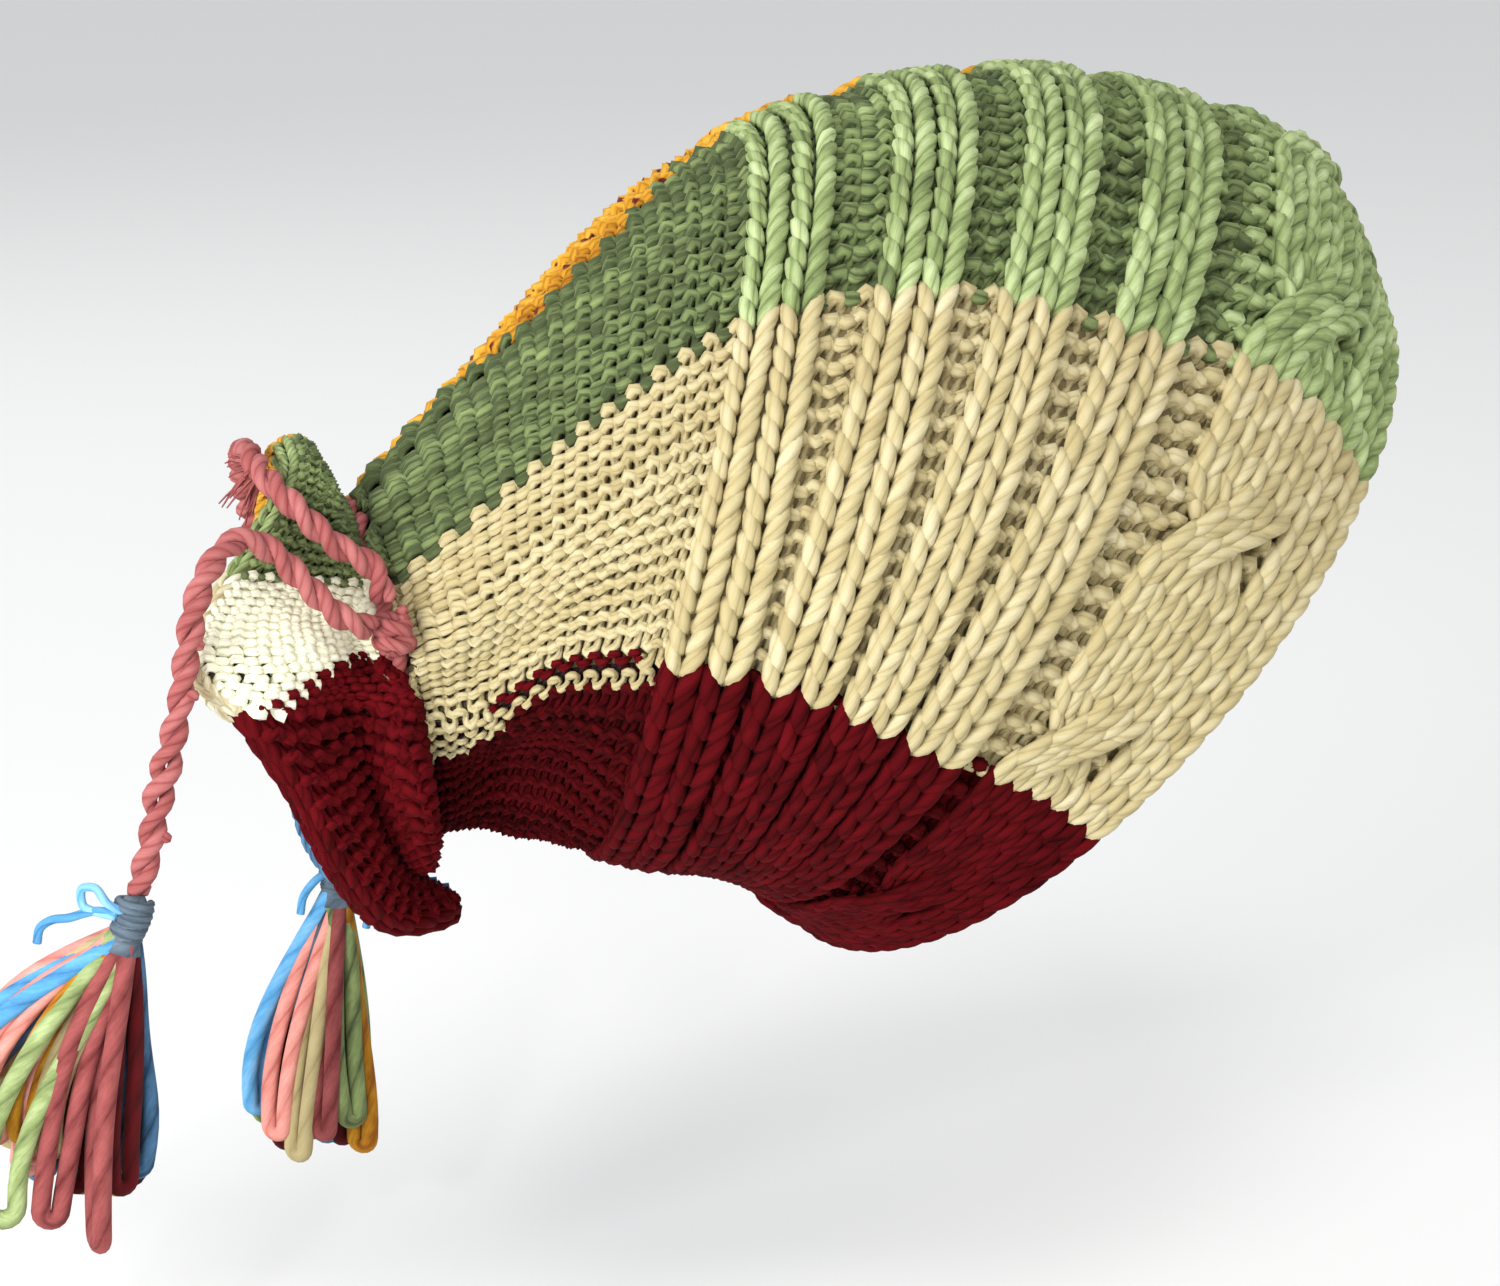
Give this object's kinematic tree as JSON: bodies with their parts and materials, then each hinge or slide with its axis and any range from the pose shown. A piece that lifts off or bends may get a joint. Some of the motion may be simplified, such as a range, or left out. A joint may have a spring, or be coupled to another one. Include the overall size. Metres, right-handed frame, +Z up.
{
  "type": "knitted ponytail cap with tied drawstring and tassels",
  "caption": "Chunky hand-knitted ponytail cap in colour blocks: open at the front for the head, gathered at the back by a tied cord with tassels.",
  "frame": {"origin": "where the top of the head touches the inside of the cap", "axes": "+X the way the wearer faces, +Y to the wearer's left, +Z up"},
  "size_m": [0.4194, 0.1975, 0.2999],
  "materials": {
    "green_yarn": "chunky matte wool, leaf green with lighter fibres",
    "cream_yarn": "chunky matte wool, undyed cream",
    "burgundy_yarn": "chunky matte wool, deep burgundy",
    "blue_yarn": "chunky matte wool, denim blue",
    "gold_yarn": "chunky matte wool, gold with darker flecks",
    "cord_yarn": "twisted wool cord, dusty rose",
    "tassel_yarn": "loose wool yarns in all the cap's colours"
  },
  "bodies": {
    "root": {"panel_green": "green_yarn", "panel_cream": "cream_yarn", "panel_burgundy": "burgundy_yarn", "panel_blue": "blue_yarn", "panel_gold": "gold_yarn", "drawstring_loop": "cord_yarn", "drawstring_knot": "cord_yarn", "drawstring_near_end": "cord_yarn", "drawstring_far_end": "cord_yarn", "tassel_near": "tassel_yarn", "tassel_far": "tassel_yarn"}
  },
  "joints": []
}
